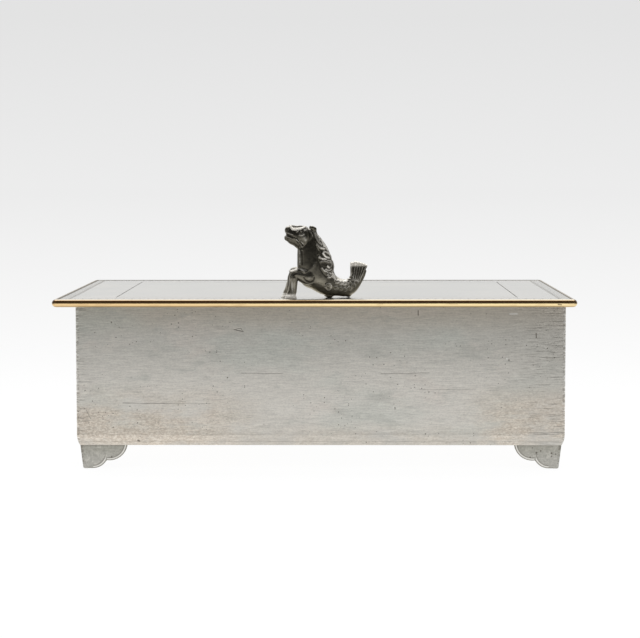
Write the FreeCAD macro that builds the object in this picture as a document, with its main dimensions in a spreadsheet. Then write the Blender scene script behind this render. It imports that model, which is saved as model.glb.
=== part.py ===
import FreeCAD, Part
import math
import os

import Sketcher

Vector = FreeCAD.Vector

# A pewter table casket: soldered sheet walls on bracket feet, and a hinged lid that carries a
# cast sea horse. Millimetres, +Z up, +X to the right as the casket is seen from the front.
# The origin lies on the table under the middle of the lid.
doc = FreeCAD.newDocument("Casket")
sheet = doc.addObject("Spreadsheet::Sheet", "Sizes")

SIZES = [
    # The box without its feet and lid.
    ("box_width", 234.6),
    ("box_depth", 146.0),
    ("box_height", 69.0),
    ("wall", 1.5),
    ("base_thickness", 1.8),
    ("corner_radius", 0.8),
    # The lower edge all round is worn to a long curve.
    ("worn_height", 5.0),
    ("worn_inset", 1.3),
    # The lid stands over the walls, less on the right than on the left.
    ("over_left", 10.6),
    ("over_right", 4.8),
    ("over_front", 7.0),
    ("lid_thickness", 1.6),
    ("lid_corner", 0.5),
    # Half-round moulding round the lid: a flat back and a round front.
    ("rim_radius", 1.85),
    ("rim_flat", 0.45),
    ("rim_rise", 0.15),
    # Lines engraved in the lid, measured from the edges of the moulding.
    ("line_left", 28.7),
    ("line_right", 26.9),
    ("line_front", 20.0),
    ("line_end", 18.0),
    ("line_width", 0.45),
    ("line_depth", 0.2),
    # Bracket feet, each a front and a side plate that lean inwards.
    ("foot_height", 11.5),
    ("foot_length", 22.6),
    ("foot_thickness", 2.4),
    ("foot_inset", 1.5),
    ("foot_lean", 1.2),
    ("foot_toe", 5.8),
    ("cusp_length", 12.2),
    ("cusp_height", 3.5),
    ("cusp_step", 0.5),
    ("cusp_rise", 0.4),
    ("ogee_centre", 13.8),
    ("foot_bevel", 0.5),
    # Hinge behind the back wall.
    ("hinge_length", 120.0),
    ("knuckle_radius", 1.9),
    ("pin_radius", 1.0),
    ("pin_clearance", 0.04),
    ("knuckle_gap", 0.4),
    ("rim_gap", 0.5),
    ("leaf_thickness", 0.7),
    ("leaf_drop", 7.0),
    ("leaf_clearance", 0.1),
    ("end_play", 0.1),
    # The sea horse, its place behind the lid's front edge and the turn of its tail to the back.
    # Its pegs fill the lid's thickness and root in the casting.
    ("horse_height", 34.2),
    ("horse_width", 10.6),
    ("horse_from_front", 17.3),
    ("horse_turn", 10.0),
    ("peg_radius", 1.2),
    ("peg_clearance", 0.05),
    ("hoof_peg_x", 10.8),
    ("belly_peg_x", 7.2),
    ("peg_root", 1.0),
    # The pad under the belly, from which the second peg goes down.
    ("pad_length", 4.0),
    ("pad_width", 4.6),
    ("pad_height", 1.6),
]

KNUCKLES = 5

for row, (alias, size) in enumerate(SIZES, start=1):
    sheet.set(f"A{row}", alias)
    sheet.set(f"B{row}", str(size))
    sheet.setAlias(f"B{row}", alias)
doc.recompute()


def expr(text):
    """Put the sheet's name before each alias in a formula."""
    words = {alias for alias, _ in SIZES}
    parts = []
    word = ""
    for letter in text + " ":
        if letter.isalnum() or letter == "_":
            word += letter
            continue
        parts.append(f"Sizes.{word}" if word in words else word)
        parts.append(letter)
        word = ""
    return "".join(parts).strip()


def value(text):
    """The number that a formula of the sheet's aliases gives now."""
    return float(sheet.evalExpression(expr(text)))


# Lengths and places that follow from the sheet, as formulas.
RIM_DEPTH = "(rim_flat + rim_radius)"
RIM_CORNER = f"(lid_corner + {RIM_DEPTH})"
OVER_BACK = f"(knuckle_gap + 2 * knuckle_radius + rim_gap + {RIM_DEPTH})"
LID_WIDTH = "(over_left + box_width + over_right)"
LID_DEPTH = f"(over_front + box_depth + {OVER_BACK})"
LEFT = f"(over_left - {LID_WIDTH} / 2)"
RIGHT = f"({LEFT} + box_width)"
FRONT = f"(over_front - {LID_DEPTH} / 2)"
BACK = f"({FRONT} + box_depth)"
WALL_FOOT = "(foot_height + base_thickness)"
WALL_HEIGHT = "(box_height - base_thickness)"
WALL_TOP = "(foot_height + box_height)"
LID_TOP = f"({WALL_TOP} + lid_thickness)"
AXIS_Y = f"({BACK} + knuckle_gap + knuckle_radius)"
AXIS_Z = f"({WALL_TOP} - leaf_thickness - leaf_clearance - knuckle_radius)"
KNUCKLE = f"(hinge_length / {KNUCKLES})"


def place(thing, x, y, z, turn=0):
    """Give an object its place by formulas, turned about the vertical."""
    thing.Placement = FreeCAD.Placement(Vector(), FreeCAD.Rotation(Vector(0, 0, 1), turn))
    thing.setExpression("Placement.Base.x", expr(x))
    thing.setExpression("Placement.Base.y", expr(y))
    thing.setExpression("Placement.Base.z", expr(z))


def new_body(label):
    body = doc.addObject("PartDesign::Body", label)
    body.Label = label
    return body


def sketch_on(body, role, name, along="0"):
    """A sketch on an origin plane of its own body, moved along the plane's normal."""
    sketch = body.newObject("Sketcher::SketchObject", name)
    plane = next(feature for feature in body.Origin.OriginFeatures if feature.Role == role)
    sketch.AttachmentSupport = [(plane, "")]
    sketch.MapMode = "FlatFace"
    sketch.setExpression("AttachmentOffset.Base.z", expr(along))
    return sketch


def pin_point(sketch, piece, point, x, y):
    """Tie a point of a sketch to its distances from the sketch's origin."""
    for kind, axis, place_at in (("DistanceX", -2, x), ("DistanceY", -1, y)):
        if place_at is None:
            continue
        if place_at == "0":
            sketch.addConstraint(Sketcher.Constraint("PointOnObject", piece, point, axis))
            continue
        row = sketch.addConstraint(
            Sketcher.Constraint(kind, -1, 1, piece, point, value(place_at)))
        sketch.setExpression(f"Constraints[{row}]", expr(place_at))


def arc_between(start, end, centre_x, centre_y, side):
    """The arc on two points with one coordinate of its centre known; side 1 swells to the right."""
    chord = end - start
    middle = (start + end) / 2
    across = Vector(chord.y, -chord.x, 0).normalize()
    if centre_x is not None:
        reach = (value(centre_x) - middle.x) / across.x if abs(across.x) > 1e-9 else 0
    else:
        reach = (value(centre_y) - middle.y) / across.y if abs(across.y) > 1e-9 else 0
    centre = middle + across * reach
    crown = centre + across * side * (start - centre).Length
    return Part.Arc(start, crown, end)


def outline(sketch, points, arcs=None):
    """A closed outline. arcs gives a side's centre x or y and the side that it swells to."""
    arcs = arcs or {}
    places = [Vector(value(x), value(y), 0) for x, y in points]
    sides = []
    for i, start in enumerate(places):
        end = places[(i + 1) % len(places)]
        curve = arc_between(start, end, *arcs[i]) if i in arcs else Part.LineSegment(start, end)
        side = sketch.addGeometry(curve)
        first = 1 if (sketch.getPoint(side, 1) - start).Length < 1e-6 else 2
        sides.append((side, first))
    for i, (side, first) in enumerate(sides):
        following, following_first = sides[(i + 1) % len(sides)]
        sketch.addConstraint(
            Sketcher.Constraint("Coincident", side, 3 - first, following, following_first))
        pin_point(sketch, side, first, *points[i])
    for i, (centre_x, centre_y, _) in arcs.items():
        pin_point(sketch, sides[i][0], 3, centre_x, centre_y)


def rectangle(left, low, right, high):
    return [(left, low), (right, low), (right, high), (left, high)]


def pad(body, sketch, length, reverse=False):
    feature = body.newObject("PartDesign::Pad", "Pad")
    feature.Profile = sketch
    feature.setExpression("Length", expr(length))
    feature.Reversed = reverse
    return feature


def pocket(body, sketch, depth=None):
    """Cut a sketch to a depth, or right through both ways."""
    feature = body.newObject("PartDesign::Pocket", "Pocket")
    feature.Profile = sketch
    if depth is None:
        feature.Type = "ThroughAll"
        feature.Midplane = True
    else:
        feature.setExpression("Length", expr(depth))
    return feature


def edges_where(feature, test):
    """Names of the edges of a feature that pass a test."""
    doc.recompute()
    edges = feature.Shape.Edges
    return [f"Edge{i}" for i, edge in enumerate(edges, start=1) if test(edge)]


def is_upright(edge):
    first, last = edge.Vertexes[0].Point, edge.Vertexes[-1].Point
    return abs(first.x - last.x) < 1e-6 and abs(first.y - last.y) < 1e-6


def box(label, x, y, z, length, width, height):
    """A plain block between formulas."""
    block = doc.addObject("Part::Box", label)
    block.Label = label
    for name, size in (("Length", length), ("Width", width), ("Height", height)):
        block.setExpression(name, expr(size))
    place(block, x, y, z)
    return block


# The outer form that all sheets of the box share: upright faces that curve in at the worn lower
# edge, seen from the front and from the side alike, and slightly rounded corners.
def box_form():
    sides = []
    for name, role, across, along in (("form_front", "XZ_Plane", "box_width", "box_depth"),
                                      ("form_side", "YZ_Plane", "box_depth", "box_width")):
        body = new_body(name)
        sketch = sketch_on(body, role, name + "_outline")
        outline(sketch,
                [("worn_inset", "0"), (f"{across} - worn_inset", "0"), (across, "worn_height"),
                 (across, "box_height"), ("0", "box_height"), ("0", "worn_height")],
                {1: (None, "worn_height", 1), 5: (None, "worn_height", 1)})
        pad(body, sketch, along, reverse=role == "XZ_Plane")
        place(body, LEFT, FRONT, "foot_height")
        sides.append(body)
    common = doc.addObject("Part::Common", "form_block")
    common.Base, common.Tool = sides
    form = doc.addObject("Part::Fillet", "form")
    form.Base = common
    radius = value("corner_radius")
    form.Edges = [(int(name[4:]), radius, radius) for name in edges_where(common, is_upright)]
    return form


def shaped(label, block, form):
    """A sheet of the box, cut from a plain block to the box's outer form."""
    piece = doc.addObject("Part::Common", label)
    piece.Label = label
    piece.Base = block
    piece.Tool = form
    return piece


# Base plate under the walls, and four wall sheets. The side walls cover the ends of the others.
def box_sheets():
    form = box_form()
    inner_width = "box_width - 2 * wall"
    blocks = {
        "base_plate": (LEFT, FRONT, "foot_height", "box_width", "box_depth", "base_thickness"),
        "left_wall": (LEFT, FRONT, WALL_FOOT, "wall", "box_depth", WALL_HEIGHT),
        "right_wall": (f"{RIGHT} - wall", FRONT, WALL_FOOT, "wall", "box_depth", WALL_HEIGHT),
        "front_wall": (f"{LEFT} + wall", FRONT, WALL_FOOT, inner_width, "wall", WALL_HEIGHT),
        "back_wall": (f"{LEFT} + wall", f"{BACK} - wall", WALL_FOOT, inner_width, "wall",
                      WALL_HEIGHT),
    }
    return [shaped(label, box(label + "_sheet", *sizes), form)
            for label, sizes in blocks.items()]


# A bracket foot plate: a toe that rises in a quarter round to a cusp, and a second round up to the
# base. It leans inwards, and its end by the corner leans as much. It runs along local +X from the
# corner, and its outer face looks to local -Y, or to +Y on the mirrored hand.
def foot_plate(label, corner_x, corner_y, turn, mirrored, covers_corner):
    body = new_body(label)
    face = sketch_on(body, "XZ_Plane", label + "_face")
    start = "0" if covers_corner else "foot_thickness"
    outline(face,
            [(f"{start} + foot_lean", "0"), ("foot_toe", "0"), ("cusp_length", "cusp_height"),
             ("cusp_length + cusp_step", "cusp_height + cusp_rise"),
             ("foot_length", "foot_height"), (start, "foot_height")],
            {1: ("foot_toe", None, 1), 3: ("ogee_centre", None, 1)})
    pad(body, face, "foot_thickness + foot_lean", reverse=not mirrored)
    lean = sketch_on(body, "YZ_Plane", label + "_lean")
    if mirrored:
        lean.AttachmentOffset = FreeCAD.Placement(
            Vector(), FreeCAD.Rotation(Vector(0, 1, 0), 180))
    outline(lean, [("0", "0"), ("foot_lean", "0"), ("0", "foot_height")])
    outline(lean, [("foot_thickness + foot_lean", "0"),
                   ("foot_thickness + foot_lean", "foot_height"),
                   ("foot_thickness", "foot_height")])
    leaning = pocket(body, lean)

    def on_outer_outline(edge):
        """The cusped edge between the outer face and the foot's underside."""
        hand = -1 if mirrored else 1
        for vertex in edge.Vertexes:
            point = vertex.Point
            outer = value("foot_lean") * (1 - point.z / value("foot_height"))
            if abs(hand * point.y - outer) > 1e-4:
                return False
        middle = edge.valueAt((edge.FirstParameter + edge.LastParameter) / 2)
        return (value("foot_toe") < middle.x
                and middle.z < value("foot_height") - 1e-3)

    bevel = body.newObject("PartDesign::Chamfer", label + "_bevel")
    bevel.Base = (leaning, edges_where(leaning, on_outer_outline))
    bevel.setExpression("Size", expr("foot_bevel"))
    place(body, corner_x, corner_y, "0", turn)
    return body


# Four feet. The side plate of each foot covers the end of its front or back plate.
def feet():
    left, right = f"{LEFT} + foot_inset", f"{RIGHT} - foot_inset"
    front, back = f"{FRONT} + foot_inset", f"{BACK} - foot_inset"
    plates = [
        ("foot_front_left_front", left, front, 0, False, False),
        ("foot_front_left_side", left, front, 90, True, True),
        ("foot_front_right_front", right, front, 180, True, False),
        ("foot_front_right_side", right, front, 90, False, True),
        ("foot_back_right_back", right, back, 180, False, False),
        ("foot_back_right_side", right, back, 270, True, True),
        ("foot_back_left_back", left, back, 0, True, False),
        ("foot_back_left_side", left, back, 270, False, True),
    ]
    return [foot_plate(*plate) for plate in plates]


# Lid plate. Local z is 0 at its top, and the local origin is its front left corner.
def lid_plate():
    body = new_body("lid_plate")
    width = f"({LID_WIDTH} - 2 * {RIM_DEPTH})"
    depth = f"({LID_DEPTH} - 2 * {RIM_DEPTH})"
    face = sketch_on(body, "XY_Plane", "lid_face")
    outline(face, rectangle("0", "0", width, depth))
    plate = pad(body, face, "lid_thickness", reverse=True)
    corners = body.newObject("PartDesign::Fillet", "lid_corners")
    corners.Base = (plate, edges_where(plate, is_upright))
    corners.setExpression("Radius", expr("lid_corner"))
    doc.recompute()
    low, high = f"line_end - {RIM_DEPTH}", f"{LID_DEPTH} - line_end - {RIM_DEPTH}"
    left = f"line_left - {RIM_DEPTH}"
    right = f"{LID_WIDTH} - line_right - {RIM_DEPTH}"
    front = f"line_front - {RIM_DEPTH}"
    back = f"{LID_DEPTH} - line_front - {RIM_DEPTH}"
    lines = [
        ("line_left_end", rectangle(left, low, f"{left} + line_width", high)),
        ("line_right_end", rectangle(f"{right} - line_width", low, right, high)),
        ("line_front_side", rectangle(f"{left} + 2 * line_width", front,
                                      f"{right} - 2 * line_width", f"{front} + line_width")),
        ("line_back_side", rectangle(f"{left} + 2 * line_width", f"{back} - line_width",
                                     f"{right} - 2 * line_width", back)),
    ]
    for name, corner_points in lines:
        sketch = sketch_on(body, "XY_Plane", name)
        outline(sketch, corner_points)
        pocket(body, sketch, "line_depth")
        doc.recompute()
    for name, along, across in (("hoof_peg_hole", "-hoof_peg_x", -HOOF_Y),
                                ("belly_peg_hole", "belly_peg_x", 0)):
        hole = sketch_on(body, "XY_Plane", name)
        circle = hole.addGeometry(Part.Circle(Vector(20, 10, 0), Vector(0, 0, 1), 1))
        turned_x, turned_y = turned(along, f"({across} * horse_width / {DRAWN_WIDTH})")
        pin_point(hole, circle, 3, f"{LID_WIDTH} / 2 - {RIM_DEPTH} + {turned_x}",
                  f"horse_from_front - {RIM_DEPTH} + {turned_y}")
        row = hole.addConstraint(Sketcher.Constraint("Radius", circle, 1))
        hole.setExpression(f"Constraints[{row}]", expr("peg_radius + peg_clearance"))
        pocket(body, hole)
        doc.recompute()
    place(body, f"{RIM_DEPTH} - {LID_WIDTH} / 2", f"{RIM_DEPTH} - {LID_DEPTH} / 2", LID_TOP)
    return body


# One length of the moulding. It runs along local +X with its round side to local +Y, and turns
# through half of each corner to the mitre.
def rim_strip(label, straight, x, y, turn):
    body = new_body(label)
    section = [("lid_corner", "0"), ("lid_corner + rim_flat", "0"),
               ("lid_corner + rim_flat", "2 * rim_radius"), ("lid_corner", "2 * rim_radius")]
    round_side = {1: ("lid_corner + rim_flat", None, 1)}
    near = sketch_on(body, "YZ_Plane", label + "_section")
    outline(near, section, round_side)
    pad(body, near, straight)
    far = sketch_on(body, "YZ_Plane", label + "_far_section", along=straight)
    outline(far, section, round_side)
    for sketch, backwards in ((near, False), (far, True)):
        corner = body.newObject("PartDesign::Revolution", label + "_corner")
        corner.Profile = sketch
        corner.ReferenceAxis = (sketch, ["V_Axis"])
        corner.Angle = 45
        corner.Reversed = backwards
        doc.recompute()
    place(body, x, y, f"{LID_TOP} + rim_rise - 2 * rim_radius", turn)
    return body


def rim():
    right, back = f"{LID_WIDTH} / 2 - {RIM_CORNER}", f"{LID_DEPTH} / 2 - {RIM_CORNER}"
    left, front = f"{RIM_CORNER} - {LID_WIDTH} / 2", f"{RIM_CORNER} - {LID_DEPTH} / 2"
    long, short = f"{LID_WIDTH} - 2 * {RIM_CORNER}", f"{LID_DEPTH} - 2 * {RIM_CORNER}"
    return [rim_strip("rim_back", long, left, back, 0),
            rim_strip("rim_left", short, left, front, 90),
            rim_strip("rim_front", long, right, front, 180),
            rim_strip("rim_right", short, right, back, 270)]


def rod(label, x, length, radius):
    """A round bar on the hinge axis."""
    bar = doc.addObject("Part::Cylinder", label)
    bar.Label = label
    bar.setExpression("Radius", expr(radius))
    bar.setExpression("Height", expr(length))
    bar.Placement = FreeCAD.Placement(Vector(), FreeCAD.Rotation(Vector(0, 1, 0), 90))
    bar.setExpression("Placement.Base.x", expr(x))
    bar.setExpression("Placement.Base.y", expr(AXIS_Y))
    bar.setExpression("Placement.Base.z", expr(AXIS_Z))
    return bar


# A hinge half: a strip with every second knuckle, all bored for the pin. The box's strip hangs on
# the back wall, and the lid's strip lies under the lid plate.
def hinge_half(label, strip, first, tab):
    blocks = [strip]
    for number in range(first, KNUCKLES, 2):
        start = f"{number} * {KNUCKLE} - hinge_length / 2 + end_play"
        length = f"{KNUCKLE} - 2 * end_play"
        blocks.append(rod(f"{label}_knuckle_{number + 1}", start, length, "knuckle_radius"))
        blocks.append(box(f"{label}_tab_{number + 1}", start, tab[0], tab[1], length,
                          tab[2], tab[3]))
    whole = doc.addObject("Part::MultiFuse", label + "_blank")
    whole.Shapes = blocks
    half = doc.addObject("Part::Cut", label)
    half.Label = label
    half.Base = whole
    half.Tool = rod(label + "_bore", "-hinge_length / 2 - 1", "hinge_length + 2",
                    "pin_radius + pin_clearance")
    return half


def hinge():
    strip_top = f"({AXIS_Z} - knuckle_radius - leaf_clearance)"
    box_strip = box("hinge_strip_box", "-hinge_length / 2", BACK, f"{strip_top} - leaf_drop",
                    "hinge_length", "leaf_thickness", "leaf_drop")
    box_tab = (BACK, f"{strip_top} - leaf_thickness", "leaf_thickness",
               "knuckle_radius + leaf_clearance + leaf_thickness")
    lid_strip = box("hinge_strip_lid", "-hinge_length / 2", f"{AXIS_Y} - knuckle_radius",
                    f"{WALL_TOP} - leaf_thickness", "hinge_length",
                    "2 * knuckle_radius + rim_gap - leaf_clearance", "leaf_thickness")
    lid_tab = (AXIS_Y, f"{AXIS_Z} + knuckle_radius / 2", "knuckle_radius",
               "knuckle_radius / 2 + leaf_clearance + leaf_thickness / 2")
    pin = rod("hinge_pin", "-hinge_length / 2 + 2 * end_play", "hinge_length - 4 * end_play",
              "pin_radius")
    return [hinge_half("hinge_leaf_box", box_strip, 0, box_tab),
            hinge_half("hinge_leaf_lid", lid_strip, 1, lid_tab), pin]


# The sea horse in its own frame: x from muzzle to tail, z above the lid. Each station is the
# centre x and z of an oval, the slope of the spine there in degrees, its half height and half
# width. They are real sizes of a figure DRAWN_HEIGHT high and DRAWN_WIDTH wide.
DRAWN_HEIGHT = 34.2
DRAWN_WIDTH = 10.6
HOOF_Y = 3.3
TRUNK = [
    (-2.2, 31.0, -95, 3.4, 2.6),
    (-1.2, 26.5, -92, 6.0, 3.7),
    (-0.3, 22.0, -90, 7.6, 4.4),
    (0.5, 17.5, -88, 8.5, 5.0),
    (0.7, 13.5, -80, 8.3, 5.3),
    (2.2, 9.6, -60, 7.5, 5.2),
    (6.1, 6.5, -40, 5.5, 4.8),
    (10.0, 4.6, -15, 4.4, 4.2),
    (14.0, 4.0, 5, 3.3, 3.5),
    (17.6, 5.3, 40, 3.1, 2.7),
    (19.6, 8.4, 65, 2.7, 1.9),
    (20.8, 12.0, 72, 3.5, 1.4),
    (21.6, 15.3, 78, 3.6, 1.1),
]
HEAD = [
    (1.0, 30.3, 180, 2.6, 1.8),
    (-2.5, 28.9, 180, 5.0, 3.3),
    (-6.5, 28.9, 180, 5.2, 3.5),
    (-10.0, 29.8, 180, 4.3, 2.8),
    (-12.8, 30.3, 180, 3.2, 2.2),
    (-14.2, 30.2, 180, 2.1, 1.6),
]
FOREARM = [
    (-1.5, 11.8, 180, 3.2, 1.8),
    (-7.5, 12.1, 180, 2.3, 1.8),
    (-11.3, 12.6, 180, 1.3, 1.1),
]
NEAR_SHANK = [
    (-9.6, 12.4, -90, 2.2, 1.7),
    (-10.2, 8.0, -90, 2.0, 1.6),
    (-10.5, 2.8, -90, 1.9, 1.5),
    (-10.8, 0.0, -90, 2.5, 1.9),
]
FAR_SHANK = [
    (-9.8, 12.4, -90, 2.1, 1.7),
    (-11.3, 7.5, -90, 2.0, 1.6),
    (-12.9, 2.8, -90, 1.9, 1.5),
    (-13.5, 0.0, -90, 2.4, 1.9),
]
EAR = [
    (-0.9, 31.8, 90, 1.3, 0.8),
    (0.1, 34.2, 90, 0.5, 0.4),
]


def turned(along, across):
    """Where a point of the sea horse lies on the lid, from the figure's own origin."""
    return (f"(({along}) * cos(horse_turn * 1 deg) - {across} * sin(horse_turn * 1 deg))",
            f"(({along}) * sin(horse_turn * 1 deg) + {across} * cos(horse_turn * 1 deg))")


def limb(stations, across=0.0):
    """A rounded bar through ovals square to its spine, at a distance from the middle plane."""
    tall = value("horse_height") / DRAWN_HEIGHT
    wide = value("horse_width") / DRAWN_WIDTH
    ovals = []
    for x, z, slope, half_height, half_width in stations:
        angle = math.radians(slope)
        centre = Vector(x * tall, across * wide, z * tall)
        high = Vector(-math.sin(angle), 0, math.cos(angle))
        side = Vector(0, 1, 0)
        long_first = half_height * tall >= half_width * wide
        if long_first:
            first, second = high * half_height * tall, side * half_width * wide
        else:
            first, second = side * half_width * wide, high * half_height * tall
        oval = Part.Ellipse(centre + first, centre + second, centre)
        ovals.append(Part.Wire([oval.toShape()]))
    return Part.makeLoft(ovals, True, False)


def sea_horse():
    wide = value("horse_width") / DRAWN_WIDTH
    pad_block = Part.makeBox(
        value("pad_length"), value("pad_width"), value("pad_height"),
        Vector(value("belly_peg_x - pad_length / 2"), value("-pad_width / 2"), 0))
    pegs = [
        Part.makeCylinder(value("peg_radius"), value("lid_thickness + peg_root"),
                          Vector(x, y * wide, -value("lid_thickness")))
        for x, y in ((-value("hoof_peg_x"), -HOOF_Y), (value("belly_peg_x"), 0))
    ]
    parts = [limb(HEAD), limb(FOREARM, -HOOF_Y), limb(FOREARM, HOOF_Y),
             limb(NEAR_SHANK, -HOOF_Y), limb(FAR_SHANK, HOOF_Y), limb(EAR, -1.6),
             limb(EAR, 1.6), pad_block] + pegs
    casting = doc.addObject("Part::Feature", "sea_horse")
    casting.Label = "sea_horse"
    casting.Shape = limb(TRUNK).multiFuse(parts)
    place(casting, "0", f"horse_from_front - {LID_DEPTH} / 2", LID_TOP,
          value("horse_turn"))
    return casting


pieces = box_sheets() + feet() + [lid_plate()] + rim() + hinge() + [sea_horse()]
doc.recompute()

for thing in doc.Objects:
    if "Invalid" in thing.State or "Error" in thing.State:
        raise RuntimeError(f"{thing.Label} did not build: {thing.State}")

os.makedirs("parts", exist_ok=True)
for piece in pieces:
    shape = piece.Shape
    if shape.isNull() or not shape.isValid() or len(shape.Solids) != 1:
        raise RuntimeError(f"{piece.Label} is not one sound solid")
for piece in pieces:
    piece.Shape.exportStep(f"parts/{piece.Label}.step")
    print(f"{piece.Label}: {piece.Shape.Volume:.1f} mm3")
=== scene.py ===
import math

import bmesh
import bpy
import numpy
from mathutils import Matrix, Vector


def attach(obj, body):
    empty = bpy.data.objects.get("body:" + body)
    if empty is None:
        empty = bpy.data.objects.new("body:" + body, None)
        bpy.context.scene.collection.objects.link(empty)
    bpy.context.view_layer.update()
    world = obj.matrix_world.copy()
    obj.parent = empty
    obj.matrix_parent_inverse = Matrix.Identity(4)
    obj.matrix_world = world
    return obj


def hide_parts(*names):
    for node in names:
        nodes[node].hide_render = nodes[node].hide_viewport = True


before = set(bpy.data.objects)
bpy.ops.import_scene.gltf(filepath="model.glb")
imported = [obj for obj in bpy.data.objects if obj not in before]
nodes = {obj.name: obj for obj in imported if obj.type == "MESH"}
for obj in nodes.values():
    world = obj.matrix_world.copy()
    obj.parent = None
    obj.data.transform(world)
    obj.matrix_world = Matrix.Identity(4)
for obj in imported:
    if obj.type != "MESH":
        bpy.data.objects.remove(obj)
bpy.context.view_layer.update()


# Sheets of the box
# The base plate and the four walls are sheet pewter, filed flush at the corners and soldered.
# They were brushed lengthwise, and have aged to a grey that is warmer towards the base.
BOX_LEFT, BOX_RIGHT = -114.4, 120.2
BOX_FRONT = -73.0
BASE_TOP = 13.3

SHADED_UPPER_GREY, LIT_LOWER_GREY = (0.615, 0.600, 0.550), (0.735, 0.708, 0.652)
LID_SHADOW_AND_PATINA_BROWN = (0.550, 0.500, 0.420)
GREENISH, ROSY = (0.560, 0.600, 0.550), (0.740, 0.665, 0.600)
CLOUD_GREY, RIGHT_GREY = (0.440, 0.450, 0.410), (0.500, 0.475, 0.430)
BASE_BAND_GREY = (0.470, 0.455, 0.420)
BARE_TAN, BARE_CREAM = (0.570, 0.485, 0.395), (0.850, 0.775, 0.670)
SHEET_DIRT, PAINTED_GLINT_WHITE = (0.100, 0.085, 0.065), (0.950, 0.940, 0.910)

# Scratches and knocks of the front, in millimetres on the casket: from x and z, to x and z,
# half width, and strength.
FRONT_MARKS = [
    (-92.0, 32.2, -72.0, 31.9, 0.30, 0.46),
    (-74.0, 31.9, -50.0, 31.8, 0.26, 0.32),
    (-35.0, 46.6, -15.4, 46.4, 0.26, 0.40),
    (32.0, 46.4, 54.9, 46.7, 0.28, 0.38),
    (50.1, 38.8, 77.4, 38.6, 0.24, 0.24),
    (-38.4, 67.6, -34.1, 66.6, 0.40, 0.65),
    (-38.4, 67.6, -35.2, 68.2, 0.30, 0.42),
    (-35.2, 68.2, -34.1, 66.6, 0.30, 0.40),
    (-109.6, 28.6, -107.4, 24.2, 0.34, 0.50),
    (-84.9, 13.9, -84.4, 13.6, 0.85, 0.85),
    (-81.4, 15.0, -79.8, 14.9, 0.30, 0.30),
    (49.6, 76.6, 49.6, 74.4, 0.42, 0.85),
    (106.0, 65.8, 106.1, 63.6, 0.42, 0.85),
    (93.1, 52.9, 93.2, 52.8, 0.55, 0.90),
    (82.1, 75.0, 82.2, 75.0, 0.50, 0.60),
    (-97.2, 71.1, -97.1, 71.0, 0.55, 0.85),
    (-105.0, 16.4, -104.9, 16.4, 0.45, 0.40),
    (-83.5, 21.6, -83.4, 21.6, 0.45, 0.35),
    (76.5, 50.5, 76.5, 46.5, 0.25, 0.12),
    (38.6, 30.0, 38.7, 29.2, 0.45, 0.75),
]
# Painted highlights on the front, in the same columns.
FRONT_GLINTS = [
    (92.1, 53.6, 92.2, 53.4, 0.60, 0.80),
    (93.4, 74.9, 96.8, 75.0, 0.60, 0.55),
    (37.7, 29.6, 38.2, 30.6, 0.40, 0.35),
]


def new_material(name):
    material = bpy.data.materials.new(name)
    material.use_nodes = True
    return material, material.node_tree


def dress(names, material):
    """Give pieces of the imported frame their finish."""
    for name in names:
        nodes[name].data.materials.clear()
        nodes[name].data.materials.append(material)


def feed(tree, given, socket):
    """Link a socket to what is given, or set it to a plain value."""
    if isinstance(given, bpy.types.NodeSocket):
        tree.links.new(given, socket)
    else:
        socket.default_value = given


def add(tree, kind, inputs=None, **settings):
    """A shader node with its settings and its inputs."""
    node = tree.nodes.new("ShaderNode" + kind)
    for name, setting in settings.items():
        setattr(node, name, setting)
    for key, given in (inputs or {}).items():
        feed(tree, given, node.inputs[key])
    return node


def calc(tree, operation, *given):
    return add(tree, "Math", dict(enumerate(given)), operation=operation).outputs[0]


def times(tree, *parts):
    """The product of masks and numbers."""
    product = parts[0]
    for part in parts[1:]:
        product = calc(tree, "MULTIPLY", product, part)
    return product


def highest(tree, *masks):
    """The highest of several masks at each place."""
    top = masks[0]
    for mask in masks[1:]:
        top = calc(tree, "MAXIMUM", top, mask)
    return top


def swing(tree, source, middle, amount, around):
    """A value that swings around another as its source swings around a middle."""
    return calc(tree, "MULTIPLY_ADD", calc(tree, "SUBTRACT", source, middle), amount, around)


def rise(tree, value, start, end):
    """0 below start and 1 above end, with a soft step between; start may be the higher."""
    return add(tree, "MapRange", {"Value": value, "From Min": start, "From Max": end},
               interpolation_type="SMOOTHSTEP").outputs["Result"]


def coat(tree, under, colour, *masks):
    """Lay a colour over what is under it, by the product of masks and numbers."""
    under, colour = ((*side, 1) if isinstance(side, tuple) else side for side in (under, colour))
    return add(tree, "Mix", {0: times(tree, *masks), 6: under, 7: colour},
               data_type="RGBA").outputs[2]


def toned(tree, colour, tone):
    """A colour made lighter and darker by a tone around 1."""
    return add(tree, "Mix", {0: 1.0, 6: colour, 7: tone}, data_type="RGBA",
               blend_type="MULTIPLY").outputs[2]


def vector(tree, operation, *given):
    """A sum on vectors, which is a number for a length, a distance or a dot product."""
    node = add(tree, "VectorMath", dict(enumerate(given)), operation=operation)
    return node.outputs["Value" if operation in ("LENGTH", "DISTANCE", "DOT_PRODUCT") else "Vector"]


def noise(tree, place, stretch, detail=3.0, roughness=0.55):
    """Noise from 0 to 1 on places in millimetres, with its waves per millimetre along x, y, z."""
    return add(tree, "TexNoise", {"Vector": vector(tree, "MULTIPLY", place, stretch), "Scale": 1.0,
                                  "Detail": detail, "Roughness": roughness}).outputs["Fac"]


def millimetres(tree):
    """Places on the casket in millimetres, whole and split."""
    place = vector(tree, "MULTIPLY", add(tree, "TexCoord").outputs["Object"], (1000, 1000, 1000))
    split = add(tree, "SeparateXYZ", {0: place})
    return place, split.outputs["X"], split.outputs["Y"], split.outputs["Z"]


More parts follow.
